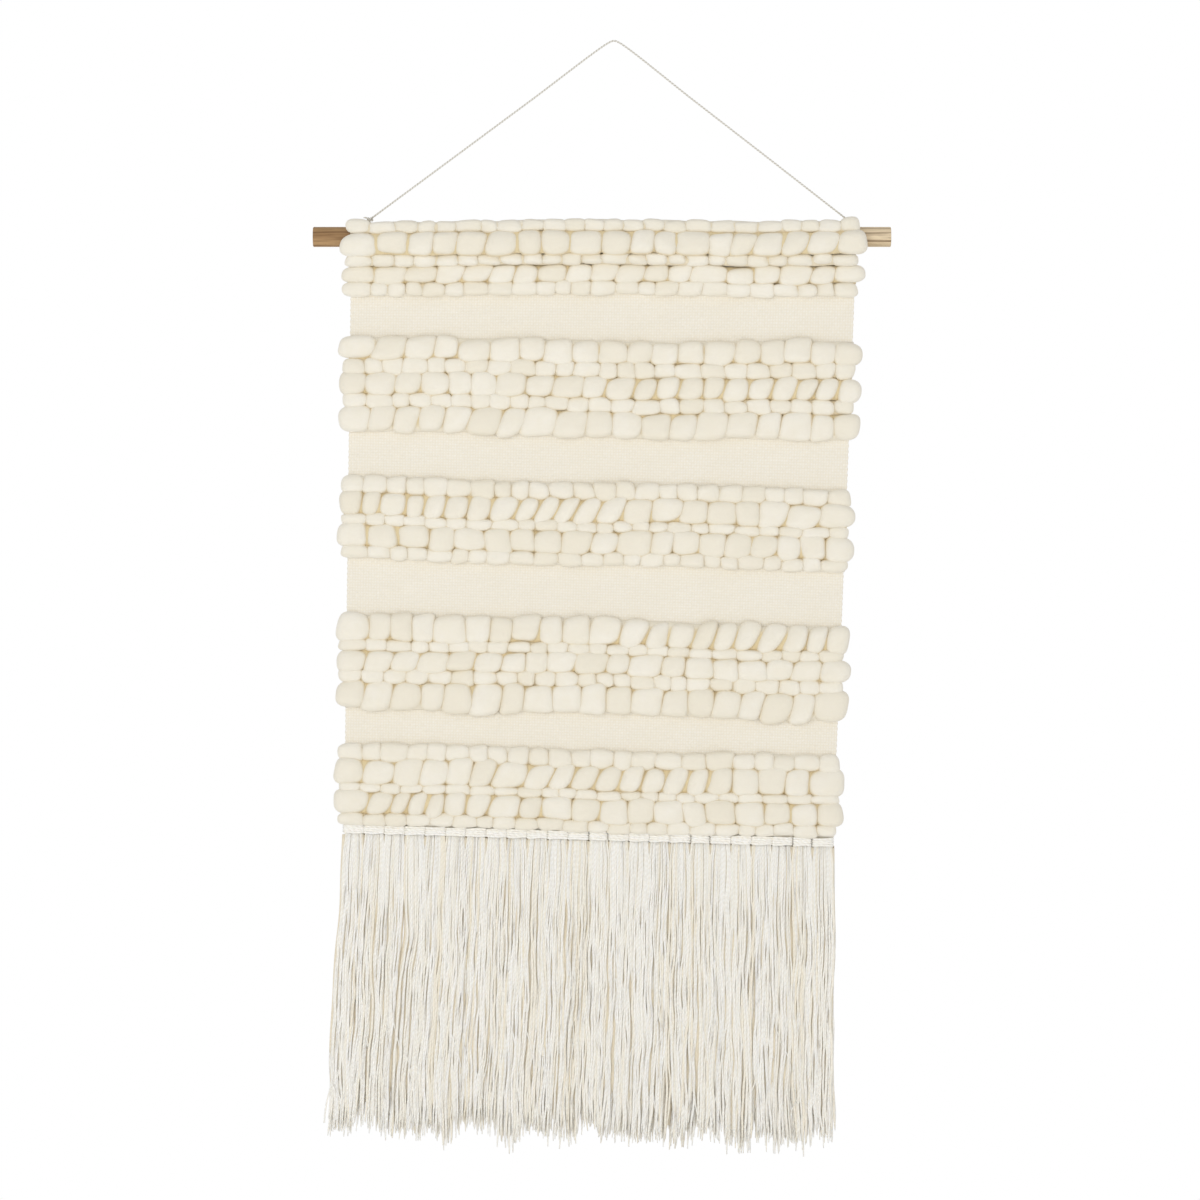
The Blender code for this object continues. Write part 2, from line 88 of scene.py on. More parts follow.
# The cord's route from knot to knot over the hook, as in the CAD source.
CORD_ROUTE = (
    (-0.2412, 0.0, -0.1754),
    (-0.1620, 0.0, -0.1169),
    (-0.0835, 0.0, -0.0588),
    (-0.0047, 0.0, -0.0005),
    (0.0000, 0.0, 0.0010),
    (0.0049, 0.0, -0.0006),
    (0.0800, 0.0, -0.0588),
    (0.1550, 0.0, -0.1169),
    (0.2302, 0.0, -0.1754),
)

BODY_OF_BAND = ("header", "panel_2", "panel_3", "panel_4", "panel_5")

# ---- camera

low, high = (Vector(corner) for corner in cad_box)
VIEW_DISTANCE = 4.5
VIEW_WIDTH = 1.2
VIEW_LEFT, VIEW_BELOW = 0.002, 0.0065     # the view's middle from the CAD box's middle
eye = Vector(((low.x + high.x) / 2 - VIEW_LEFT, -VIEW_DISTANCE,
              (low.z + high.z) / 2 - VIEW_BELOW))

camera_data = bpy.data.cameras.new("camera")
camera_data.sensor_width = 36.0
camera_data.lens = camera_data.sensor_width * VIEW_DISTANCE / VIEW_WIDTH
camera_data.clip_end = 50.0
camera = bpy.data.objects.new("camera", camera_data)
camera.location = eye
camera.rotation_euler = (PI / 2, 0.0, 0.0)
bpy.context.collection.objects.link(camera)
bpy.context.scene.camera = camera

# ---- mesh helpers


def make_piece(name, points, quads, tris=None, smooth=True):
    """A mesh object from arrays of points, four-sided faces and, at poles, three-sided ones."""
    points = np.asarray(points, np.float32)
    quads = np.asarray(quads, np.int32).reshape(-1, 4)
    tris = np.asarray([] if tris is None else tris, np.int32).reshape(-1, 3)
    mesh = bpy.data.meshes.new(name)
    mesh.vertices.add(len(points))
    mesh.vertices.foreach_set("co", points.ravel())
    loops = np.concatenate([quads.ravel(), tris.ravel()])
    sizes = np.concatenate([np.full(len(quads), 4), np.full(len(tris), 3)]).astype(np.int32)
    starts = np.concatenate([[0], np.cumsum(sizes)[:-1]]).astype(np.int32)
    mesh.loops.add(len(loops))
    mesh.loops.foreach_set("vertex_index", loops)
    mesh.polygons.add(len(sizes))
    mesh.polygons.foreach_set("loop_start", starts)
    mesh.polygons.foreach_set("loop_total", sizes)
    mesh.update(calc_edges=True)
    mesh.validate()
    if smooth:
        mesh.shade_smooth()
    piece = bpy.data.objects.new(name, mesh)
    bpy.context.collection.objects.link(piece)
    return piece


def set_value(piece, name, values):
    """Stores one number for each vertex, for the materials to read."""
    layer = piece.data.attributes.new(name, "FLOAT", "POINT")
    layer.data.foreach_set("value", np.asarray(values, np.float32))


CLOSING_SPAN = 0.6


def set_uv(piece, uv):
    """Stores flat coordinates for each vertex, so that a pattern follows a piece that bends."""
    layer = piece.data.uv_layers.new(name="flat")
    index = np.zeros(len(piece.data.loops), np.int32)
    piece.data.loops.foreach_get("vertex_index", index)
    corners = np.asarray(uv, np.float32)[index]
    sides = np.zeros(len(piece.data.polygons), np.int32)
    piece.data.polygons.foreach_get("loop_total", sides)
    # Round a tube the first coordinate runs from 0 to 1. The faces that close it would span it
    # all, so their low corners are moved up by 1.
    four = corners[:4 * int((sides == 4).sum())].reshape(-1, 4, 2)
    closing = np.ptp(four[:, :, 0], axis=1) > CLOSING_SPAN
    four[closing, :, 0] += four[closing, :, 0] < 0.5
    layer.data.foreach_set("uv", corners.ravel())


def grid_quads(rows, columns, first=0, wrap_columns=False):
    """Faces of a grid of points, closed on itself round its columns if asked."""
    c = np.arange(columns if wrap_columns else columns - 1)
    r, c = np.meshgrid(np.arange(rows - 1), c, indexing="ij")
    c2 = (c + 1) % columns
    start, below = r * columns, (r + 1) * columns
    quads = [start + c, start + c2, below + c2, below + c]
    return np.stack(quads, -1).reshape(-1, 4) + first


def end_tris(rings, around):
    """Triangles that close the first and the last ring on the two points after all rings."""
    k = np.arange(around)
    k2 = (k + 1) % around
    last = (rings - 1) * around
    return np.concatenate([
        np.stack([np.full(around, rings * around), k2, k], -1),
        np.stack([np.full(around, rings * around + 1), last + k, last + k2], -1),
    ])


def distances(path):
    """How far along the path each of its points lies."""
    return np.concatenate([[0], np.cumsum(np.linalg.norm(np.diff(path, axis=0), axis=1))])


def sweep(path, radius, sides, lobes=0.0, turn=None, squash=1.0):
    """A closed tube along a path, with round or lobed sections: points, quads and triangles."""
    path = np.asarray(path, float)
    along = np.gradient(path, axis=0)
    along /= np.linalg.norm(along, axis=1)[:, None]
    side = np.cross(along, [0.0, 1.0, 0.0])
    weak = np.linalg.norm(side, axis=1) < 0.2     # here the path runs nearly along Y
    side[weak] = np.cross(along[weak], [1.0, 0.0, 0.0])
    side /= np.linalg.norm(side, axis=1)[:, None]
    up = np.cross(side, along)
    around = np.arange(sides) * 2 * PI / sides
    spin = np.zeros(len(path)) if turn is None else np.asarray(turn)
    size = np.broadcast_to(np.asarray(radius, float), (len(path),))[:, None]
    size = size * (1 - lobes + lobes * np.cos(2 * (around[None, :] - spin[:, None])))
    ring = (np.cos(around)[None, :, None] * side[:, None, :]
            + squash * np.sin(around)[None, :, None] * up[:, None, :])
    points = path[:, None, :] + size[:, :, None] * ring
    points = np.concatenate([points.reshape(-1, 3), path[:1], path[-1:]])
    quads = grid_quads(len(path), sides, wrap_columns=True)
    return points, quads, end_tris(len(path), sides)


class Bundle:
    """Gathers many small closed shapes into one piece."""

    def __init__(self):
        self.points, self.quads, self.tris, self.uvs = [], [], [], []
        self.values = {}
        self.count = 0

    def add(self, points, quads, tris, uv=None, **values):
        """Adds a shape. Each value is one number for all its points or one for each."""
        self.points.append(points)
        self.quads.append(quads + self.count)
        self.tris.append(tris + self.count)
        for name, value in values.items():
            spread = np.broadcast_to(np.asarray(value, float), (len(points),))
            self.values.setdefault(name, []).append(spread)
        if uv is not None:
            self.uvs.append(uv)
        self.count += len(points)

    def make(self, name):
        piece = make_piece(name, np.concatenate(self.points), np.concatenate(self.quads),
                           np.concatenate(self.tris))
        for key, lists in self.values.items():
            set_value(piece, key, np.concatenate(lists))
        if self.uvs:
            set_uv(piece, np.concatenate(self.uvs))
        return piece


def smoothstep(x, low_edge, high_edge):
    """0 below the low edge, 1 above the high one, and a smooth rise between."""
    t = np.clip((x - low_edge) / (high_edge - low_edge), 0.0, 1.0)
    return t * t * (3 - 2 * t)


# ---- materials


class Nodes:
    """Short calls for building a tree of nodes."""

    def __init__(self, tree):
        self.tree = tree

    def node(self, kind, **settings):
        made = self.tree.nodes.new(kind)
        for key, value in settings.items():
            setattr(made, key, value)
        return made

    def link(self, source, target):
        """Feeds a socket from another one, a number or a colour."""
        if isinstance(source, (int, float, tuple)):
            target.default_value = source
        else:
            self.tree.links.new(source, target)

    def feed(self, made, values):
        """Feeds several of a node's sockets, by their names."""
        for name, value in values.items():
            self.link(value, made.inputs[name])

    def math(self, operation, a, b=0.0):
        made = self.node("ShaderNodeMath", operation=operation)
        self.link(a, made.inputs[0])
        self.link(b, made.inputs[1])
        return made.outputs[0]

    def attribute(self, name):
        return self.node("ShaderNodeAttribute", attribute_name=name).outputs["Fac"]

    def place(self, scale=(1.0, 1.0, 1.0), kind="Object"):
        coordinates = self.node("ShaderNodeTexCoord").outputs[kind]
        made = self.node("ShaderNodeMapping")
        self.feed(made, {"Vector": coordinates, "Scale": scale})
        return made.outputs["Vector"]

    def noise(self, vector, scale, detail=3.0, roughness=0.55):
        made = self.node("ShaderNodeTexNoise")
        self.feed(made, {"Vector": vector, "Scale": scale, "Detail": detail,
                         "Roughness": roughness})
        return made.outputs["Fac"]

    def spread(self, value, from_low, from_high, to_low=0.0, to_high=1.0):
        """The value moved from one range to another, and kept within it."""
        made = self.node("ShaderNodeMapRange")
        self.feed(made, {"Value": value, "From Min": from_low, "From Max": from_high,
                         "To Min": to_low, "To Max": to_high})
        return made.outputs["Result"]

    def mix(self, share, first, second):
        made = self.node("ShaderNodeMix", data_type="RGBA")
        # The colour sockets share their names with others, so they are found by number.
        self.link(share, made.inputs["Factor"])
        self.link(first, made.inputs[6])
        self.link(second, made.inputs[7])
        return made.outputs[2]


class Look(Nodes):
    """The nodes of one material."""

    def __init__(self, name):
        self.material = bpy.data.materials.new(name)
        self.material.use_nodes = True
        super().__init__(self.material.node_tree)
        self.shader = self.tree.nodes["Principled BSDF"]

    def bump(self, height, distance, strength=1.0):
        made = self.node("ShaderNodeBump")
        self.feed(made, {"Height": height, "Distance": distance, "Strength": strength})
        self.link(made.outputs["Normal"], self.shader.inputs["Normal"])

    def finish(self, colour, roughness, sheen=0.0, subsurface=0.0, depth=0.004):
        """Connects the shader. Depth is how far light spreads under the surface, in metres."""
        values = {"Base Color": colour, "Roughness": roughness, "Specular IOR Level": 0.25}
        if sheen:
            values |= {"Sheen Weight": sheen, "Sheen Roughness": 0.5}
        if subsurface:
            values |= {"Subsurface Weight": subsurface, "Subsurface Scale": depth,
                       "Subsurface Radius": (1.0, 0.95, 0.9)}
        self.feed(self.shader, values)
        return self.material


def srgb(red, green, blue):
    """A colour given as 0 to 255 display values."""
    def linear(value):
        value /= 255
        return value / 12.92 if value <= 0.04045 else ((value + 0.055) / 1.055) ** 2.4
    return (linear(red), linear(green), linear(blue), 1.0)


def roving_material():
    """Unspun combed wool: soft cream, fine fibres along the row, and warm tan painted shade in
    the crevices.
    """
    n = Look("roving_wool")
    along = n.place((0.24, 1.0, 1.0))
    blotch = n.noise(n.place(), 55.0, 2.0)
    fibres = n.noise(along, 1000.0, 4.0, 0.65)
    cream = n.mix(n.spread(blotch, 0.3, 0.7), srgb(245, 240, 228), srgb(242, 236, 221))
    cream = n.mix(n.attribute("tone"), cream, srgb(239, 232, 215))
    cream = n.mix(n.spread(fibres, 0.42, 0.75, 0.0, 0.25), cream, srgb(243, 235, 216))
    # Painted shade: warm tan where the puffs meet each other, the core and the cloth.
    colour = n.mix(n.attribute("crevice"), cream, srgb(226, 204, 152))
    n.bump(fibres, 0.0006, 0.8)
    roughness = n.spread(fibres, 0.3, 0.7, 0.86, 0.97)
    return n.finish(colour, roughness, sheen=0.35, subsurface=0.12)


def ground_material():
    """Plain-woven wool: small changes from yarn to yarn, hairy, with painted shade between the
    yarns.
    """
    n = Look("ground_weave")
    flat = n.place(kind="UV")
    yarn = n.noise(flat, 0.9, 2.0)
    hairs = n.noise(flat, 6.0, 4.0, 0.7)
    blotch = n.noise(flat, 0.06, 2.0)
    cream = n.mix(n.spread(yarn, 0.35, 0.65), srgb(247, 243, 234), srgb(243, 238, 226))
    cream = n.mix(n.spread(blotch, 0.35, 0.65, 0.0, 0.4), cream, srgb(241, 235, 221))
    # Painted shade between the yarns and on the yarns that lie underneath.
    colour = n.mix(n.attribute("crevice"), cream, srgb(233, 223, 200))
    n.bump(hairs, 0.0003, 0.6)
    return n.finish(colour, n.spread(hairs, 0.3, 0.7, 0.85, 0.96), sheen=0.2)


def fringe_material():
    """Loosely plied yarn: each strand has its own tone, with a slanting ply and fuzz, painted
    shade in the groove between the plies, and dark painted shade where yarn lies deep in shade.
    """
    n = Look("fringe_yarn")
    flat = n.place(kind="UV")
    split = n.node("ShaderNodeSeparateXYZ")
    n.link(flat, split.inputs[0])
    # Two plies wind round the yarn: two waves round it, and one for each turn along it.
    ply = n.math("SINE", n.math("ADD", n.math("MULTIPLY", split.outputs[0], 4 * PI),
                                n.math("MULTIPLY", split.outputs[1], 2 * PI / YARN_TURN)))
    hairs = n.noise(n.place((3.0, 300.0, 1.0), "UV"), 4.0, 3.0, 0.7)
    tone = n.attribute("tone")
    pale = n.mix(n.spread(tone, 0.0, 0.5), srgb(254, 252, 247), srgb(251, 247, 238))
    yarn = n.mix(n.spread(tone, 0.5, 1.0), pale, srgb(243, 234, 214))
    # Painted shade in the groove between the two plies.
    yarn = n.mix(n.spread(ply, -1.0, 0.2, 0.20, 0.0), yarn, srgb(232, 221, 200))
    # Painted shade, dark brown, for yarn that lies deep in shade.
    colour = n.mix(n.attribute("crevice"), yarn, srgb(158, 136, 100))
    height = n.math("ADD", n.spread(ply, -1.0, 1.0), n.math("MULTIPLY", hairs, 0.6))
    n.bump(height, 0.0003, 0.7)
    return n.finish(colour, n.spread(hairs, 0.3, 0.7, 0.82, 0.95), sheen=0.15,
                    subsurface=0.35, depth=0.0006)


def cord_material():
    """White two-ply cotton, with painted shade in the groove between its plies."""
    n = Look("cotton_cord")
    hairs = n.noise(n.place(), 1500.0, 3.0, 0.7)
    cotton = n.mix(n.spread(hairs, 0.35, 0.65), srgb(242, 240, 235), srgb(226, 222, 212))
    # Painted shade in the ply groove and on the cord's cut ends.
    colour = n.mix(n.attribute("crevice"), cotton, srgb(168, 160, 146))
    n.bump(hairs, 0.0002, 0.7)
    return n.finish(colour, n.spread(hairs, 0.3, 0.7, 0.8, 0.95), sheen=0.1)


def dowel_material():
    """Sanded softwood: long grain and pores along X, darker towards the left."""
    n = Look("dowel_wood")
    grain = n.noise(n.place((0.03, 1.0, 1.0)), 420.0, 5.0, 0.6)
    figure = n.noise(n.place((0.05, 1.0, 1.0)), 95.0, 3.0, 0.5)
    pores = n.noise(n.place((0.02, 1.0, 1.0)), 1300.0, 2.0, 0.7)
    split = n.node("ShaderNodeSeparateXYZ")
    n.link(n.place(), split.inputs[0])
    left = n.spread(split.outputs[0], -0.29, 0.265, 1.0, 0.0)
    light = n.mix(n.spread(figure, 0.3, 0.7), srgb(238, 219, 187), srgb(218, 196, 160))
    dark = n.mix(n.spread(figure, 0.3, 0.7), srgb(190, 155, 112), srgb(158, 123, 84))
    wood = n.mix(left, light, dark)
    wood = n.mix(n.spread(grain, 0.48, 0.68, 0.0, 0.8), wood, srgb(112, 82, 54))
    wood = n.mix(n.spread(pores, 0.56, 0.7, 0.0, 0.7), wood, srgb(92, 68, 46))
    n.bump(n.math("ADD", grain, n.math("MULTIPLY", pores, 0.5)), 0.0002, 0.5)
    return n.finish(wood, n.spread(grain, 0.3, 0.7, 0.5, 0.72))


ROVING = roving_material()
GROUND = ground_material()
YARN = fringe_material()
COTTON = cord_material()
WOOD = dowel_material()


def dress(piece, material):
    piece.data.materials.append(material)


# ---- hanging cord and its ties


def smooth_route(route, step):
    """Evenly spaced points on a smooth curve through the route's points, and its length."""
    knots = np.array(route)
    knots = np.vstack([2 * knots[0] - knots[1], knots, 2 * knots[-1] - knots[-2]])
    found = []
    for p0, p1, p2, p3 in zip(knots, knots[1:], knots[2:], knots[3:]):
        t1 = np.linalg.norm(p1 - p0) ** 0.5
        t2 = t1 + np.linalg.norm(p2 - p1) ** 0.5
        t3 = t2 + np.linalg.norm(p3 - p2) ** 0.5
        t = np.linspace(t1, t2, 40, endpoint=False)[:, None]
        a1 = p0 + (p1 - p0) * t / t1
        a2 = p1 + (p2 - p1) * (t - t1) / (t2 - t1)
        a3 = p2 + (p3 - p2) * (t - t2) / (t3 - t2)
        b1 = a1 + (a2 - a1) * t / t2
        b2 = a2 + (a3 - a2) * (t - t1) / (t3 - t1)
        found.append(b1 + (b2 - b1) * (t - t1) / (t2 - t1))
    found = np.vstack(found + [knots[-2:-1]])
    run = distances(found)
    even = np.linspace(0, run[-1], int(run[-1] / step) + 1)
    return np.stack([np.interp(even, run, found[:, i]) for i in range(3)], -1), run[-1]


LOBES = 0.16                  # how deep the groove between the two plies is, to the radius
GROOVE_SHADE, END_SHADE = 0.8, 0.2


def ply_cord(path, sides=14, radius=CORD_DIAMETER / 2):
    """A two-ply cord along a path: its section has two lobes that wind round the path."""
    spin = distances(path) * 2 * PI / PLY_TURN
    points, quads, tris = sweep(path, radius, sides, lobes=LOBES, turn=spin)
    around = np.arange(sides) * 2 * PI / sides
    # Painted shade: strongest in the groove between the plies, a little on the end caps.
    groove = 0.5 - 0.5 * np.cos(2 * (around[None, :] - spin[:, None]))
    shade = np.concatenate([groove.ravel() ** 2 * GROOVE_SHADE, [END_SHADE, END_SHADE]])
    return points, quads, tris, shade


CORD_STEP = 0.0008
cord_path, cord_length = smooth_route(CORD_ROUTE, CORD_STEP)
bundle = Bundle()
points, quads, tris, groove = ply_cord(cord_path)
bundle.add(points, quads, tris, crevice=groove)
cord = bundle.make("cord")
dress(cord, COTTON)
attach(cord, "hanger")
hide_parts("hanging_cord")

KNOT_SIZE = 0.00088           # scale of the knot's curve, and half its thickness in Z
KNOT_DEPTH = 0.0011
KNOT_BELOW_TOP = 0.0032       # from the CAD tie's top down to the knot's middle
KNOT_RADIUS, RING_RADIUS, NECK_RADIUS = 0.00108, 0.00092, 0.0009
STUB_RADIUS, TAIL_RADIUS = 0.00098, 0.0008


def build_tie(name, node):
    """An overhand knot on the cloth's top, its tail, and the cord's loop round the dowel."""
    lo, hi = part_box(node)
    ring_radius = (hi.y - lo.y) / 2 - CORD_DIAMETER / 2
    x = (lo.x + hi.x) / 2
    dowel_z = lo.z + ring_radius + CORD_DIAMETER / 2
    knot_z = hi.z - KNOT_BELOW_TOP
    t = np.linspace(0, 2 * PI, 120)
    knot = np.stack([
        x + KNOT_SIZE * (np.sin(t) + 2 * np.sin(2 * t)),
        KNOT_SIZE * (np.cos(t) - 2 * np.cos(2 * t)),
        knot_z - KNOT_DEPTH * np.sin(3 * t),
    ], -1)
    t = np.linspace(0, 2 * PI, 140)
    ring = np.stack([x + 0 * t, ring_radius * np.sin(t), dowel_z + ring_radius * np.cos(t)], -1)
    neck = np.linspace((x, 0.0, dowel_z + ring_radius), (x, 0.0, knot_z), 14)
    cord_end = CORD_ROUTE[0] if x < 0 else CORD_ROUTE[-1]
    stub = np.linspace((x, 0.0, knot_z), cord_end, 10)
    s = np.linspace(0, 1, 16)
    lean = 1.0 if x < 0 else -1.0
    tail = np.stack([
        x - lean * (0.0018 + 0.004 * s),
        -0.001 - 0.003 * s,
        knot_z + 0.0016 * np.sin(2.2 * s),
    ], -1)
    made = Bundle()
    for path, radius in ((knot, KNOT_RADIUS), (ring, RING_RADIUS), (neck, NECK_RADIUS),
                         (stub, STUB_RADIUS), (tail, TAIL_RADIUS)):
        points, quads, tris, groove = ply_cord(path, 10, radius)
        made.add(points, quads, tris, crevice=groove)
    tie = made.make(name)
    dress(tie, COTTON)
    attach(tie, "header")
    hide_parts(node)


for name in ("tie_left", "tie_right"):
    build_tie(name, f"cord_{name}")

# ---- dowel

dowel = frame["nodes"]["dowel"]
dowel.data.materials.clear()
dowel.data.materials.append(WOOD)

# ---- where the rows lie

# What sets plump puffs and small beads apart. Widths and heights are half sizes to each one's
# share of its row: past 1, neighbours press together. Reach is from its middle to its front.
# Shade and core_shade are how much painted shade a puff's front rim and its row's core take.
Kind = namedtuple("Kind", "pitch uneven ends wide tall soft_share lift reach out shade"
                          " core_depth core_shade")
PUFF = Kind(pitch=0.0268, uneven=0.20, ends=(0.0, 0.0), wide=(1.05, 1.18), tall=(1.12, 1.36),
            soft_share=0.35, lift=0.0011, reach=0.0108, out=(0.002, 0.005), shade=0.62,
            core_depth=0.0066, core_shade=0.75)
BEAD = Kind(pitch=0.0212, uneven=0.22, ends=(0.001, 0.004), wide=(1.06, 1.18), tall=(1.18, 1.42),
            soft_share=0.5, lift=0.0005, reach=0.0082, out=(0.0, 0.002), shade=0.35,
            core_depth=0.0048, core_shade=0.4)

ROW_END = 0.012               # how far in from a row's ends its two heights are read
ROWS_ON_POCKET = 3            # rows of band 1 that lie on the pocket's front
BEAT_HEIGHT, BEAT_WAVES = 0.0011, 17


def node_points(node):
    """A CAD node's points, in metres."""
    mesh = frame["nodes"][node].data
    found = np.zeros(len(mesh.vertices) * 3, np.float32)
    mesh.vertices.foreach_get("co", found)
    return found.reshape(-1, 3).astype(float)


class Row:
    """A roving row's place, read from its CAD solid."""

    def __init__(self, band, number):
        self.band, self.number = band, number
        self.node = f"band{band}_row{number}"
        points = node_points(self.node)
        self.x0, self.x1 = points[:, 0].min(), points[:, 0].max()
        left = points[points[:, 0] < self.x0 + ROW_END, 2]
        right = points[points[:, 0] > self.x1 - ROW_END, 2]
        self.z0 = (left.min() + left.max()) / 2
        self.z1 = (right.min() + right.max()) / 2
        self.height = left.max() - left.min()
        self.front, self.back = points[:, 1].min(), points[:, 1].max()
        self.over_pocket = band == 1 and number <= ROWS_ON_POCKET
        self.thick = self.height > THICK_ROW
        self.kind = PUFF if self.thick else BEAD

    def middle(self, x):
        """Height of the row's middle at a place along X."""
        return self.z0 + (self.z1 - self.z0) * (x - self.x0) / (self.x1 - self.x0)

    def beaten(self, x):
        """The same with the slight wave that beating the weft down leaves in a whole band."""
        return self.middle(x) + BEAT_HEIGHT * np.sin(BEAT_WAVES * x + 2.1 * self.band)


rows = [[Row(band, number) for number in range(1, 6)] for band in range(1, 6)]

# ---- roving puffs


def blob(around, down, power, front_power):
    """Unit pillow, squared in X and Z by power and towards its front and back by front_power.

    Returns its points and faces, and how near each point is to the rim that meets a neighbour.
    """
    phi = np.arange(around) * 2 * PI / around
    theta = np.linspace(0, PI, down + 1)[1:-1]
    x = np.concatenate([np.outer(np.sin(theta), np.cos(phi)).ravel(), [0, 0]])
    z = np.concatenate([np.outer(np.sin(theta), np.sin(phi)).ravel(), [0, 0]])
    y = np.concatenate([np.repeat(-np.cos(theta), around), [-1, 1]])
    flat = (np.abs(x) ** power + np.abs(z) ** power) ** (1 / power)
    size = (flat ** front_power + np.abs(y) ** front_power) ** (-1 / front_power)
    quads = grid_quads(len(theta), around, wrap_columns=True)[:, ::-1]
    tris = end_tris(len(theta), around)[:, [0, 2, 1]]
    rim = flat * size
    rim[y > 0.0] = 1.0
    return np.stack([x * size, y * size, z * size], -1), quads, tris, rim


SOFT, SQUARE = blob(40, 24, 2.9, 2.4), blob(40, 24, 3.8, 2.7)
FLOAT = blob(20, 10, 2.8, 2.4)


def shaped(shape, centre, half, shear, angles, lumps, yaw=0.0):
    """A unit pillow's points set to size, slanted, turned to one side and made a little lumpy.

    The half sizes are across, front, back and up, and the three chance angles make it unlike
    its neighbours.
    """
    x, y, z = shape[0].T
    a, b, c = angles
    swell = 1 + lumps * (np.sin(2.1 * x + a) * np.cos(1.9 * z + b)
                         + 0.6 * np.sin(3.7 * z + 2.3 * x + c))
    deep = np.where(y < 0, half[1], half[2])
    tilt = 0.16 * math.sin(b)
    return np.stack([
        centre[0] + half[0] * x * swell * (1 + 0.10 * math.sin(a) * z) + shear * half[3] * z,
        centre[1] + deep * y * (1 + 0.5 * (swell - 1)) * (1 + (tilt * z + yaw * x) * (y < 0)),
        centre[2] + half[3] * z * swell * (1 + 0.12 * math.sin(c) * x),
    ], -1)


NARROW_SHARE = 0.82           # a narrow puff's width to a common one's


def spacing(count, unevenness, low_edge, high_edge):
    """Shares along a row for count puffs of uneven width, narrower between two of the shares."""
    share = (np.arange(count) + 0.5) / count
    narrow = (share > low_edge) & (share < high_edge)
    widths = (1 + unevenness * rng.uniform(-1, 1, count)) * np.where(narrow, NARROW_SHARE, 1.0)
    return np.concatenate([[0], np.cumsum(widths)]) / widths.sum()


# Rows whose puffs stand tall and narrow over a stretch (share across), with gaps between them.
NARROW = {
    (2, 3): (0.50, 1.0),
    (3, 2): (0.0, 0.55),
    (4, 1): (0.55, 1.0),
    (5, 2): (0.35, 0.8),
    (5, 4): (0.05, 0.30),
}


def inner_side(row, over):
    """Share of painted shade: 1 where a row has another row beside it, less on the side that
    faces plain ground.
    """
    if row.number == 1:
        return 1 - 0.85 * smoothstep(over, 0.2, 0.8)
    if row.number == 5:
        return 1 - 0.85 * smoothstep(-over, 0.2, 0.8)
    return 1.0


CORE_INSET = 0.0045
CORE_TALL = 0.56              # the core's half height to the row's height


def row_core(row, made):
    """The roving's continuous roll, which fills the corners between its puffs."""
    x = np.linspace(row.x0 + CORE_INSET, row.x1 - CORE_INSET, 120)
    if row.over_pocket:
        y, deep = row.front * 0.4 + row.back * 0.6, (row.back - row.front) * 0.36
    else:
        y, deep = -CLOTH_HALF - 0.0018, row.kind.core_depth
    tall = row.height * CORE_TALL
    wander = 0.0006 * np.sin(x * 95 + row.band * 2 + row.number)
    path = np.stack([x, y + 0 * x, row.beaten(x) + wander], -1)
    points, quads, tris = sweep(path, tall, 16, squash=deep / tall)
    # Painted shade on the core, less on its back.
    shade = row.kind.core_shade * np.where(points[:, 1] < 0, 1.0, 0.35)
    over = (points[:, 2] - row.middle(points[:, 0])) / tall
    made.add(points, quads, tris, crevice=shade * inner_side(row, over), tone=0.5)


NARROW_WIDE, NARROW_LEAN = (0.98, 1.06), 0.12
BEAD_LEAN = 0.08
UNEVEN_REACH = (0.90, 1.04)
POCKET_REACH, POCKET_SHARE = 0.0125, 0.62     # most that a puff on the pocket stands out
TOP_CORNER_TALL, TOP_CORNER_LIFT = 1.25, 0.0012
PUFF_BEHIND = 0.0034          # from the cloth's front face to the middle of a puff
WRAP_REACH, BACK_REACH = 0.0085, 0.0030   # to the rear, at the row's ends and elsewhere
NOWHERE = (2.0, 2.0)          # a stretch past the row's end


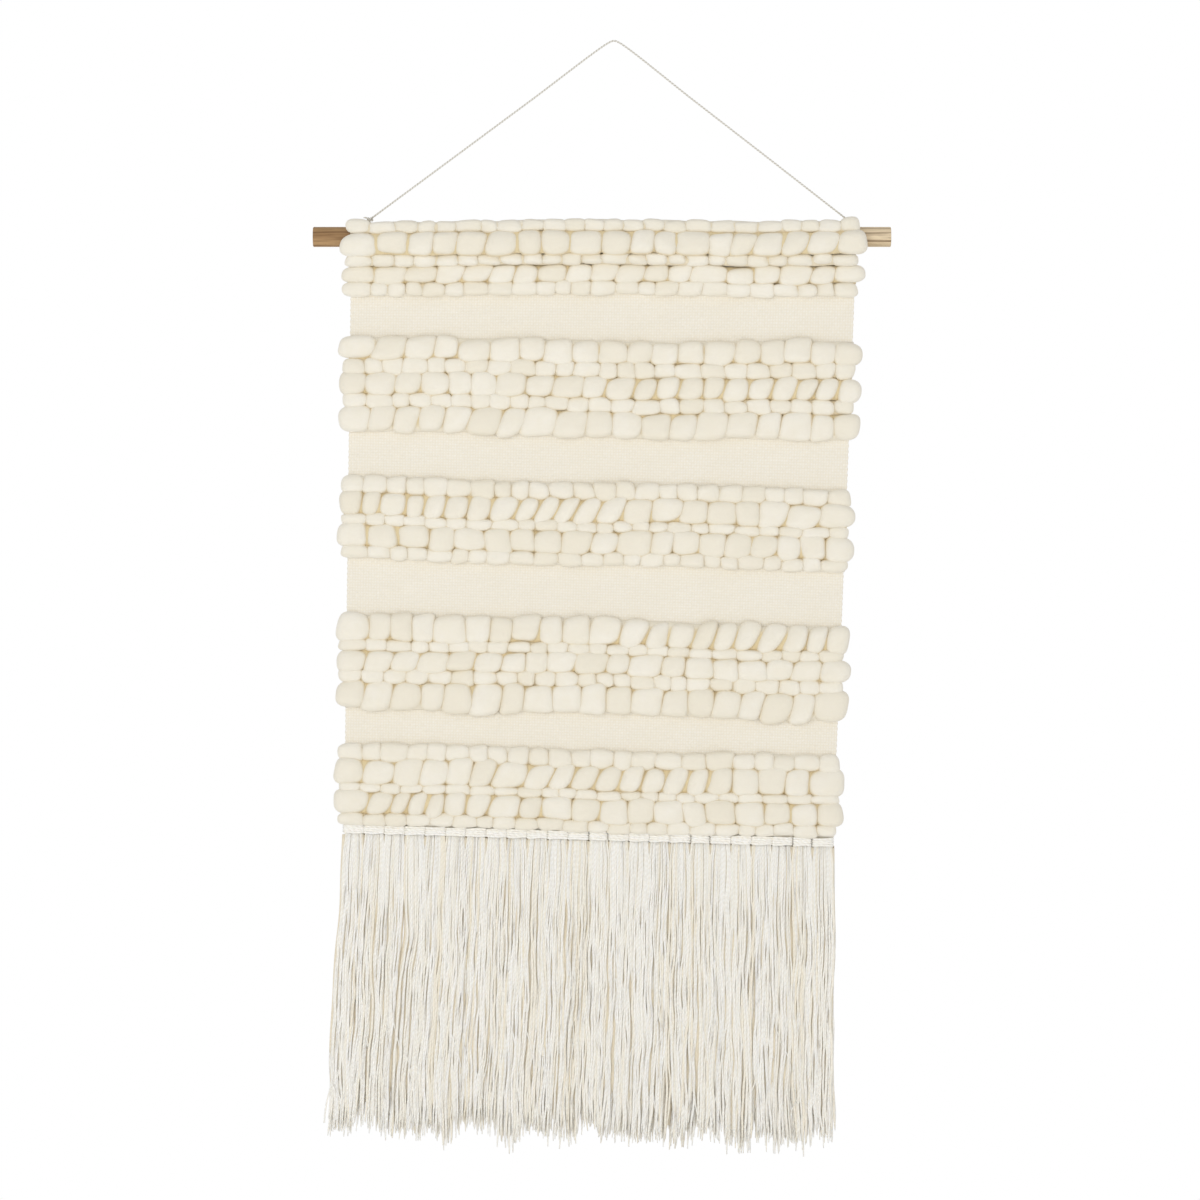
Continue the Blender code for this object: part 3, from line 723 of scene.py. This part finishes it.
def build_row(row):
    """A row of plump puffs or beads in front, with flat floats between them behind."""
    low_edge, high_edge = NARROW.get((row.band, row.number), NOWHERE)
    kind = row.kind
    left = row.x0 + kind.ends[0]
    width = row.x1 - kind.ends[1] - left
    count = int(round(width / kind.pitch * (1 + 0.2 * min(high_edge - low_edge, 0.6))))
    edges = spacing(count, kind.uneven, low_edge, high_edge)
    made = Bundle()
    row_core(row, made)
    half_height = row.height / 2
    slant = rng.uniform(0.0, 0.25)
    for i in range(count):
        share = (edges[i] + edges[i + 1]) / 2
        x = left + width * share
        a = width * (edges[i + 1] - edges[i]) / 2
        first, last = i == 0, i == count - 1
        narrow = row.thick and low_edge < share < high_edge
        tone = rng.uniform(0, 1) ** 2
        angles = rng.uniform(0, 2 * PI, 3)
        slant = 0.6 * slant + 0.4 * rng.normal(0.16, 0.22)
        if row.thick:
            shear = slant + (NARROW_LEAN if narrow else 0.0)
        else:
            shear = rng.normal(0, BEAD_LEAN)
        wide = a * rng.uniform(*(NARROW_WIDE if narrow else kind.wide))
        tall = half_height * rng.uniform(*kind.tall)
        shape = SOFT if narrow or rng.random() < kind.soft_share else SQUARE
        lift = rng.normal(0, kind.lift)
        if row.over_pocket:
            depth = row.back - row.front
            reach = min(depth * POCKET_SHARE, POCKET_REACH)
            centre_y = row.front + reach
            back_reach = depth - reach
        else:
            reach = kind.reach
            centre_y = -CLOTH_HALF - PUFF_BEHIND
            back_reach = WRAP_REACH if first or last else BACK_REACH
        reach *= rng.uniform(*UNEVEN_REACH)
        if first or last:
            out = rng.uniform(*kind.out)
            wide += out / 2
            x += -out / 2 if first else out / 2
            shear *= 0.3
            shape = SOFT
            if row.band == 1 and row.number == 1:
                tall, lift = tall * TOP_CORNER_TALL, TOP_CORNER_LIFT
        centre = (x, centre_y, row.beaten(x) + lift)
        yaw = 0.0 if first or last else rng.normal(0.10, 0.16)
        half = (wide, reach, back_reach, tall)
        points = shaped(shape, centre, half, shear, angles, 0.03, yaw)
        side, front = shape[0][:, 0], shape[0][:, 1] < 0
        # Painted shade towards the rim where a puff meets its neighbours, less behind and at a
        # row's outer ends.
        crevice = smoothstep(shape[3], 0.84, 1.0)
        crevice *= np.where(front, kind.shade, 0.25)
        crevice *= inner_side(row, shape[0][:, 2])
        if first or last:
            crevice *= smoothstep(side if first else -side, -0.2, 0.8)
        made.add(points, shape[1], shape[2], crevice=crevice, tone=tone)
    if not row.over_pocket:
        for i in range(1, count):
            x = left + width * edges[i]
            a = width * (edges[i + 1] - edges[i - 1]) / 4 * rng.uniform(1.02, 1.12)
            centre = (x, CLOTH_HALF + 0.0012, row.beaten(x))
            half = (a, 0.0016, 0.0032, half_height * rng.uniform(0.98, 1.14))
            points = shaped(FLOAT, centre, half, 0.0, rng.uniform(0, 2 * PI, 3), 0.04)
            # Painted shade on the side of each float that lies against the cloth.
            crevice = 0.3 * (1 - smoothstep(FLOAT[0][:, 1], 0.0, 0.5))
            made.add(points, FLOAT[1], FLOAT[2], crevice=crevice, tone=rng.uniform(0, 0.6))
    piece = made.make(f"roving_{row.node}")
    dress(piece, ROVING)
    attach(piece, BODY_OF_BAND[row.band - 1])
    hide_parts(row.node)


for band_rows in rows:
    for row in band_rows:
        build_row(row)

# ---- woven ground

YARN_RELIEF, CROSSING_RELIEF = 0.00040, 0.00020


def tabby(warp, weft):
    """Plain weave: 0 between yarns to 1 on them, and the sign of the yarn on top."""
    ridge = np.abs(np.sin(PI * warp)) ** 0.6 * np.abs(np.sin(PI * weft)) ** 0.6
    over = np.sign(np.sin(PI * warp) * np.sin(PI * weft))
    return ridge, over


def weave_slab(name, top_left, top_right, bottom_left, bottom_right, samples=3):
    """A closed slab of plain weave between four corners, and its width and height."""
    tl, tr, bl, br = (np.array(p) for p in (top_left, top_right, bottom_left, bottom_right))
    width = np.linalg.norm(tr - tl)
    height = np.linalg.norm(bl - tl)
    warps = round(width / WARP_PITCH)
    wefts = max(2, round(height / WEFT_PITCH))
    u = np.linspace(0, 1, warps * samples + 1)
    v = np.linspace(0, 1, wefts * samples + 1)
    vv, uu = np.meshgrid(v, u, indexing="ij")
    base = ((tl * (1 - uu[..., None]) + tr * uu[..., None]) * (1 - vv[..., None])
            + (bl * (1 - uu[..., None]) + br * uu[..., None]) * vv[..., None])
    warp, weft = uu * warps, vv * wefts
    ridge, over = tabby(warp, weft)
    # The wefts turn at the edges, so each edge is a row of small loops.
    edge = smoothstep(uu, 0.985, 1.0) - (1 - smoothstep(uu, 0.0, 0.015))
    loops = 0.0003 * np.cos(PI * weft) * edge
    wander = 0.0005 * np.sin(37 * uu + 11 * vv) * np.sin(9 * vv + 5 * uu)
    layers, shades = [], []
    for face in (-1, 1):
        relief = YARN_RELIEF * ridge + CROSSING_RELIEF * over * face * ridge
        layer = base.copy()
        layer[..., 0] += loops
        layer[..., 1] += face * (CLOTH_HALF - 0.0002 + relief) + wander
        layers.append(layer.reshape(-1, 3))
        # Painted shade between the yarns and on the yarn that lies underneath at each crossing.
        shades.append(((1 - ridge) ** 1.5 * 0.45 + 0.16 * (over * face < 0) * ridge).ravel())
    rows_n, cols_n = uu.shape
    total = rows_n * cols_n
    front = grid_quads(rows_n, cols_n)[:, ::-1]
    back = grid_quads(rows_n, cols_n, total)
    index = np.arange(total).reshape(rows_n, cols_n)
    rim = np.concatenate([index[0, :-1], index[:-1, -1], index[-1, :0:-1], index[:0:-1, 0]])
    nxt = np.roll(rim, -1)
    walls = np.stack([rim, nxt, nxt + total, rim + total], -1)
    piece = make_piece(name, np.concatenate(layers), np.concatenate([front, back, walls]))
    set_value(piece, "crevice", np.concatenate(shades))
    flat = np.stack([warp.ravel(), weft.ravel()], -1)
    set_uv(piece, np.concatenate([flat, flat]))
    dress(piece, GROUND)
    return piece, (width, height)


def edge_points(row, shift):
    """The cloth's two edges at a row, moved down by a distance."""
    x0, x1 = row.x0 + EDGE_TURN, row.x1 - EDGE_TURN
    return (x0, 0.0, row.middle(x0) - shift), (x1, 0.0, row.middle(x1) - shift)


joints = {joint["name"]: joint for joint in frame["record"]["behaviour"]["joints"]}

for band in range(4):
    above, below = rows[band][4], rows[band + 1][0]
    top = edge_points(above, 0.0)
    bottom = edge_points(below, 0.0)
    ground, size = weave_slab(f"ground_{band + 1}", *top, *bottom)
    fold = joints[f"fold_{band + 1}"]
    at = Vector(fold["pos_m"])
    axis = Vector(fold["axis"])
    down = axis.cross(Vector((0.0, -1.0, 0.0))).normalized()
    if down.z > 0:
        down = -down
    gap = above.middle(at.x) - above.height / 2 - below.middle(at.x) - below.height / 2
    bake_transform(ground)

hem_low, hem_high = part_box("woven_ground_5")
for band in range(1, 5):
    first, last = rows[band][0], rows[band][4]
    top = edge_points(first, 0.001)
    bottom = edge_points(last, -0.001)
    if band == 4:
        points = node_points("woven_ground_5")
        foot = points[:, 2].min()
        left = points[points[:, 0] < points[:, 0].min() + 0.02]
        right = points[points[:, 0] > points[:, 0].max() - 0.04]
        bottom = ((left[left[:, 2].argmin(), 0], 0.0, left[:, 2].min()),
                  (right[right[:, 2].argmin(), 0], 0.0, foot))
    core, size = weave_slab(f"ground_under_band_{band + 1}", *top, *bottom, samples=2)
    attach(core, BODY_OF_BAND[band])
    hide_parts(f"woven_ground_{band + 1}")

# ---- dowel pocket

SKIN_RELIEF = 0.0004


def build_pocket():
    """The cloth's turned-over top: round the dowel, closed by a seam, down to band 1's end."""
    lo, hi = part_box("woven_ground_1")
    outside = (hi.y - lo.y) / 2
    centre_z = hi.z - outside
    seam = outside + SEAM_BELOW_ROUND
    reach = math.hypot(CLOTH_HALF, seam)
    wedge = math.atan2(seam, CLOTH_HALF) - math.acos(outside / reach)
    last = rows[0][4]
    tail = centre_z - last.middle(0.0)
    step = WEFT_PITCH / 2
    # The outer face from the front tail over the top to the back tail, as (y, depth).
    straight = np.linspace(tail, seam, max(2, int((tail - seam) / step)))[:-1]
    foot = np.array([-outside * math.cos(wedge), outside * math.sin(wedge)])
    slope_count = int(np.linalg.norm(foot - [-CLOTH_HALF, seam]) / step)
    slope = np.linspace((-CLOTH_HALF, seam), foot, slope_count)[:-1]
    bend = np.linspace(PI + wedge, -wedge, int(outside * (PI + 2 * wedge) / step))
    arc = np.stack([outside * np.cos(bend), -outside * np.sin(bend)], -1)
    flat_face = np.stack([np.full(len(straight), -CLOTH_HALF), straight], -1)
    front = np.concatenate([flat_face, slope])
    rear = front[::-1] * [-1, 1]
    outer = np.concatenate([front, arc, rear])
    # The pocket's inner face, point for point with the outer face above the seam.
    bore = outside - CLOTH_THICK
    tip = np.array([0.0, bore / math.sin(wedge)])
    inner_foot = foot * bore / outside
    inner_slope = np.linspace(tip, inner_foot, slope_count)[:-1]
    inner = np.concatenate([inner_slope, arc * bore / outside, inner_slope[::-1] * [-1, 1]])
    first_inner = len(straight)
    run = distances(outer)
    across = np.gradient(outer, axis=0)
    normal = np.stack([across[:, 1], -across[:, 0]], -1)
    normal /= np.linalg.norm(normal, axis=1)[:, None]
    if normal[len(outer) // 2, 1] > 0:
        normal = -normal
    x0 = (rows[0][3].x0 + EDGE_TURN, last.x0 + EDGE_TURN)
    x1 = (rows[0][3].x1 - EDGE_TURN, last.x1 - EDGE_TURN)
    warps = round((x1[0] - x0[0]) / WARP_PITCH)
    u = np.linspace(0, 1, warps * 2 + 1)

    def strip(profile, relief):
        """The profile laid along X between the cloth's edges, with its relief in Y and Z."""
        fall = (profile[:, 1] / tail)[:, None]
        left = x0[0] + (x0[1] - x0[0]) * fall
        right = x1[0] + (x1[1] - x1[0]) * fall
        x = left + (right - left) * u[None, :]
        y = profile[:, 0][:, None] + relief[0]
        z = centre_z - profile[:, 1][:, None] + relief[1] + 0 * x
        return np.stack([x, y + 0 * x, z], -1)

    warp = u[None, :] * warps
    weft = (run / WEFT_PITCH)[:, None]
    ridge, _ = tabby(warp, weft)
    push = SKIN_RELIEF * (ridge - 0.5)
    skin = strip(outer, (normal[:, 0][:, None] * push, -normal[:, 1][:, None] * push))
    lining = strip(inner, (0.0, 0.0))
    points = np.concatenate([skin.reshape(-1, 3), lining.reshape(-1, 3)])
    columns = len(u)
    lining_start = len(outer) * columns
    faces = [grid_quads(len(outer), columns)[:, ::-1],
             grid_quads(len(inner), columns, lining_start)]
    # The bottom edge closes the tail, and at both ends the cloth's thickness is closed.
    low_back = (len(outer) - 1) * columns
    k = np.arange(columns - 1)
    faces.append(np.stack([k, k + 1, low_back + k + 1, low_back + k], -1))
    lips = lining_start + (len(inner) - 1) * columns
    for end, turned in ((0, 1), (columns - 1, -1)):
        j = np.arange(len(inner) - 1)
        skin_j = (first_inner + j) * columns + end
        lining_j = lining_start + j * columns + end
        ring = np.stack([skin_j, skin_j + columns, lining_j + columns, lining_j], -1)
        j = np.arange(first_inner) * columns + end
        mirror = low_back + 2 * end - j
        tails = np.stack([j, j + columns, mirror - columns, mirror], -1)
        mouth = np.array([[first_inner * columns + end, lining_start + end, lips + end,
                           (first_inner + len(inner) - 1) * columns + end]])
        faces += [part[:, ::turned] for part in (ring, tails, mouth)]
    faces.append(np.stack([lining_start + k + 1, lining_start + k, lips + k, lips + k + 1], -1))
    piece = make_piece("pocket", points, np.concatenate(faces))
    # Painted shade between the yarns, and an even painted shade on the pocket's inner face.
    shade = (1 - ridge) ** 1.5 * 0.5
    shade = np.concatenate([shade.ravel(), np.full(len(inner) * columns, 0.5)])
    set_value(piece, "crevice", shade)
    turns = np.arange(len(inner))[:, None]
    flat = [np.stack([warp + 0 * down, down + 0 * warp], -1).reshape(-1, 2)
            for down in (weft, turns)]
    set_uv(piece, np.concatenate(flat))
    dress(piece, GROUND)
    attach(piece, "header")
    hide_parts("woven_ground_1")
    return centre_z, seam, x0[0], x1[0]


pocket_z, seam_depth, cloth_left, cloth_right = build_pocket()

STITCH_LENGTH, STITCH_PITCH, STITCH_RADIUS = 0.0046, 0.0082, 0.00065


def build_seam():
    """Hand stitches along the pocket's seam, behind the cloth."""
    made = Bundle()
    x = cloth_left + 0.006
    while x < cloth_right - 0.010:
        s = np.linspace(0, 1, 9)
        slant = 0.0035 + rng.uniform(-0.0005, 0.0005)
        path = np.stack([
            x + STITCH_LENGTH * s,
            CLOTH_HALF + 0.0002 + 0.0011 * np.sin(PI * s),
            pocket_z - seam_depth - 0.0030 + slant * s,
        ], -1)
        points, quads, tris = sweep(path, STITCH_RADIUS, 7)
        # The stitches carry a little painted shade.
        made.add(points, quads, tris, crevice=0.25, tone=0.5, uv=np.zeros((len(points), 2)))
        x += STITCH_PITCH + rng.uniform(-0.0006, 0.0006)
    seam = made.make("seam_stitches")
    dress(seam, YARN)
    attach(seam, "header")


build_seam()

# ---- tassels

TASSELS = 24
LANES = 15                    # strands side by side in each layer
LAYERS = (-0.0026, 0.0, 0.0026)
STRAND_RADIUS = 0.00104
STRAND_POINTS = 44
STRAND_SIDES = 6
HEAD_TURNS, HEAD_ABOVE = 4, 0.0029        # turns of yarn, and the first one's height
TURN_PITCH, TURN_RADIUS = 0.0021, 0.00125
HEAD_FRONT, HEAD_BULGE = 0.0012, 0.0034   # the head's ends and its swell, in front of Y = 0
SPREAD = 1.03                 # the strands' width to the CAD tassel's
# Each core's half width and offset, as shares of the tassel's width, and its depth to width.
CORE_HALF, CORE_STEP, CORE_SQUASH = 0.25, 0.333, 0.43
PLIES_ACROSS = 150            # turns of the yarn's pattern in each metre across a core
STRAYS = 3
tassel_pitch = (hem_high.x - hem_low.x) / TASSELS


def waves(s, sizes):
    """A sum of waves, each with a chance number of turns from its range, and a chance phase."""
    return sum(size * np.sin(2 * PI * (rng.uniform(*turns) * s + rng.random()))
               for size, turns in sizes)


LEVEL_STEP = 0.003            # CAD points nearer than this in height are one level
LEAST_WIDTH = 0.008


def cad_levels(points):
    """Height, middle and width of a CAD tassel at each of its levels, from the top down."""
    level = np.round(points[:, 2] / LEVEL_STEP).astype(int)
    found = []
    for z in sorted(set(level), reverse=True):
        ring = points[level == z]
        width = np.ptp(ring[:, 0])
        if width > LEAST_WIDTH:
            middle_x = (ring[:, 0].min() + ring[:, 0].max()) / 2
            found.append((ring[:, 2].mean(), middle_x, width))
    return np.array(found)


def build_tassel(number):
    """A lark's head of four turns across the cloth's edge, and its hank of wavy strands."""
    node = f"tassel_{number:02d}"
    points = node_points(node)
    top, bottom = points[:, 2].max(), points[:, 2].min()
    levels = cad_levels(points)
    x_top, w_top = levels[2, 1], levels[2, 2]
    levels[-1, 2] = levels[-2, 2] * 1.03
    levels[2:4, 1:] = (x_top, tassel_pitch)
    made = Bundle()

    def middle_at(z):
        return np.interp(-z, -levels[:, 0], levels[:, 1])

    def width_at(z):
        return np.interp(-z, -levels[:, 0], levels[:, 2])

    def add_strand(path, radius, tone, crevice, sides=STRAND_SIDES):
        """One yarn with flat coordinates: round it from 0 to 1, and along it in metres."""
        points, quads, tris = sweep(path, radius, sides)
        run = distances(path) + rng.uniform(0, YARN_TURN)
        uv = np.stack([np.tile(np.arange(sides) / sides, len(path)), np.repeat(run, sides)], -1)
        uv = np.concatenate([uv, [[0, run[0]], [0, run[-1]]]])
        shade = np.broadcast_to(crevice, (len(path),))
        shade = np.concatenate([np.repeat(shade, sides), shade[:1], shade[-1:]])
        made.add(points, quads, tris, uv=uv, crevice=shade, tone=tone)

    for turn in range(HEAD_TURNS):
        s = np.linspace(-1, 1, 15)
        bulge = np.sqrt(np.clip(1 - s ** 4, 0, 1))
        path = np.stack([
            x_top + (w_top / 2 + 0.0002) * s,
            -HEAD_FRONT - (HEAD_BULGE + 0.0006 * (turn % 2)) * bulge,
            top + HEAD_ABOVE - turn * TURN_PITCH + 0.0003 * np.sin(3 * s + turn + number),
        ], -1)
        add_strand(path, TURN_RADIUS, rng.uniform(0, 0.35), 0.0, sides=8)
    # Painted shade between two heads: warp ends, darkest at the top, that stand for the shade
    # that shows there.
    s = np.linspace(0, 1, 8)
    path = np.stack([x_top + tassel_pitch / 2 + 0 * s, 0.0012 + 0 * s,
                     top - 0.004 - 0.014 * s], -1)
    add_strand(path, 0.0014, 1.0, 1.0 - 0.5 * s)
    s = np.linspace(0, 1, STRAND_POINTS)
    free = smoothstep(s, 0.0, 0.35)
    full_length = top - bottom
    shared = waves(s, ((0.0012, (0.8, 1.8)), (0.0005, (2.5, 4.0))))
    clump = rng.uniform(-0.002, 0.006)
    # The hank's inner strands, as three flat cores side by side behind the outer ones.
    z = top - 0.006 - (full_length - 0.024) * s
    core_width = width_at(z)
    core_x = middle_at(z) + shared * free
    core_half = core_width * CORE_HALF * (1 - 0.75 * smoothstep(s, 0.82, 1.0))
    for side in (-1, 0, 1):
        core_path = np.stack([core_x + side * CORE_STEP * core_width, 0 * s, z], -1)
        core, quads, tris = sweep(core_path, core_half, 14, squash=CORE_SQUASH)
        flat = np.stack([core[:, 0] * PLIES_ACROSS, core[:, 2]], -1)
        # The cores carry a little painted shade.
        made.add(core, quads, tris, uv=flat, crevice=0.08, tone=1.0)
    for layer, y_layer in enumerate(LAYERS):
        for lane in range(LANES):
            share = (lane + 0.5 + 0.5 * (layer == 1)) / LANES - 0.5
            start_z = top + (0.0030 if layer == 2 else -0.0030)
            length = (full_length - (top - start_z) + clump * (1 - 4 * share ** 2)
                      + rng.normal(-0.005, 0.006))
            z = start_z - length * s
            middle_x = middle_at(z)
            width = width_at(z) * SPREAD
            head_share = 0.84 + 0.16 * smoothstep(s, 0.015, 0.07)
            stray = rng.normal(0, 0.0022) if rng.random() > 0.09 else rng.uniform(-0.011, 0.011)
            own = waves(s, ((0.0005, (1.0, 2.2)), (0.0005, (3.0, 5.0)),
                            (0.0003, (7.0, 11.0))))
            own_y = waves(s, ((0.0005, (1.0, 2.5)), (0.0004, (4.0, 7.0))))
            y_end = y_layer * 1.2 + rng.uniform(-0.0010, 0.0010)
            path = np.stack([
                middle_x + width * head_share * share + rng.uniform(-0.0007, 0.0007)
                + stray * s ** 1.6 + (shared + own) * free,
                y_layer * 0.9 + (y_end - y_layer * 0.9) * free + own_y * free,
                z,
            ], -1)
            radius = STRAND_RADIUS * rng.uniform(0.78, 1.14)
            radius = radius * (1 + 0.05 * np.sin(60 * s + rng.uniform(0, 2 * PI)))
            radius = radius * (1 + 0.20 * smoothstep(s, 0.1, 0.6))
            radius[-3:] *= (0.85, 0.65, 0.35)
            add_strand(path, radius, rng.beta(1.3, 2.2), 0.0)
    # Loose yarns that stray across the front and back, low down.
    for stray in range(STRAYS):
        t = np.linspace(0, 1, 22)
        x_start = x_top + rng.uniform(-0.4, 0.4) * tassel_pitch
        z_start = bottom + full_length * rng.uniform(0.20, 0.55)
        reach = rng.uniform(-0.014, 0.014)
        drop = rng.uniform(0.035, 0.095)
        face = -1 if stray < STRAYS - 1 else 1
        path = np.stack([
            middle_at(z_start) - x_top + x_start
            + reach * t ** 1.4 + waves(t, ((0.0012, (0.7, 1.6)),)),
            face * (0.0034 + 0.0008 * np.sin(PI * t)),
            np.maximum(z_start - drop * t, bottom + 0.004),
        ], -1)
        add_strand(path, STRAND_RADIUS * rng.uniform(0.5, 0.8), rng.uniform(0, 0.5), 0.0)
    tassel = made.make(f"yarn_{node}")
    dress(tassel, YARN)
    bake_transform(tassel)
    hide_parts(node)


for number in range(1, TASSELS + 1):
    build_tassel(number)

# ---- floor, light and world

FLOOR_SIDE = 3.0
FLOOR_DROP = 0.45
floor_z = low.z - FLOOR_DROP
side = FLOOR_SIDE / 2
corners = [(x * side, y * side, floor_z) for x, y in ((-1, -1), (1, -1), (1, 1), (-1, 1))]
floor = make_piece("floor", corners, [(0, 1, 2, 3)], smooth=False)
floor_look = Look("floor")
speckle = floor_look.noise(floor_look.place(), 3.0, 2.0)
pale = floor_look.mix(speckle, srgb(253, 252, 250), srgb(249, 248, 246))
floor.data.materials.append(floor_look.finish(pale, 0.9))


def area_light(name, place, target, size, power, colour):
    """A square lamp that faces its target; size in metres, power in watts."""
    data = bpy.data.lights.new(name, "AREA")
    data.shape = "SQUARE"
    data.size = size
    data.energy = power
    data.color = colour
    lamp = bpy.data.objects.new(name, data)
    lamp.location = place
    lamp.rotation_euler = (Vector(target) - Vector(place)).to_track_quat("-Z", "Y").to_euler()
    bpy.context.collection.objects.link(lamp)


middle = (low + high) / 2
area_light("key", (-1.4, -3.0, middle.z + 0.2), middle, 1.8, 25.0, (1.0, 0.99, 0.97))
area_light("fill", (2.0, -2.8, middle.z - 0.9), middle, 2.2, 15.0, (0.98, 0.99, 1.0))
area_light("rear", (0.4, 2.6, middle.z + 1.2), middle, 2.0, 14.0, (1.0, 1.0, 1.0))

# A white room: the camera sees plain white, and the light from straight above is weaker.
GLOW = 0.80
CEILING_SHARE = 0.65
CEILING_FROM, CEILING_TO = 0.05, 0.9      # how high a direction points, from level to up
world = bpy.data.worlds.new("studio")
bpy.context.scene.world = world
world.use_nodes = True
world.node_tree.nodes.clear()
w = Nodes(world.node_tree)


def white(strength):
    """A white background of the given strength."""
    made = w.node("ShaderNodeBackground")
    w.feed(made, {"Color": (1.0, 1.0, 1.0, 1.0), "Strength": strength})
    return made.outputs[0]


direction = w.node("ShaderNodeSeparateXYZ")
w.link(w.node("ShaderNodeTexCoord").outputs["Generated"], direction.inputs[0])
glow = w.spread(direction.outputs[2], CEILING_FROM, CEILING_TO, GLOW, GLOW * CEILING_SHARE)
blend = w.node("ShaderNodeMixShader")
w.link(w.node("ShaderNodeLightPath").outputs["Is Camera Ray"], blend.inputs[0])
w.link(white(glow), blend.inputs[1])
w.link(white(1.0), blend.inputs[2])
w.link(blend.outputs[0], w.node("ShaderNodeOutputWorld").inputs["Surface"])

view = bpy.context.scene.view_settings
view.view_transform = "Standard"
view.look = "None"
view.exposure = 0.0
view.gamma = 1.0
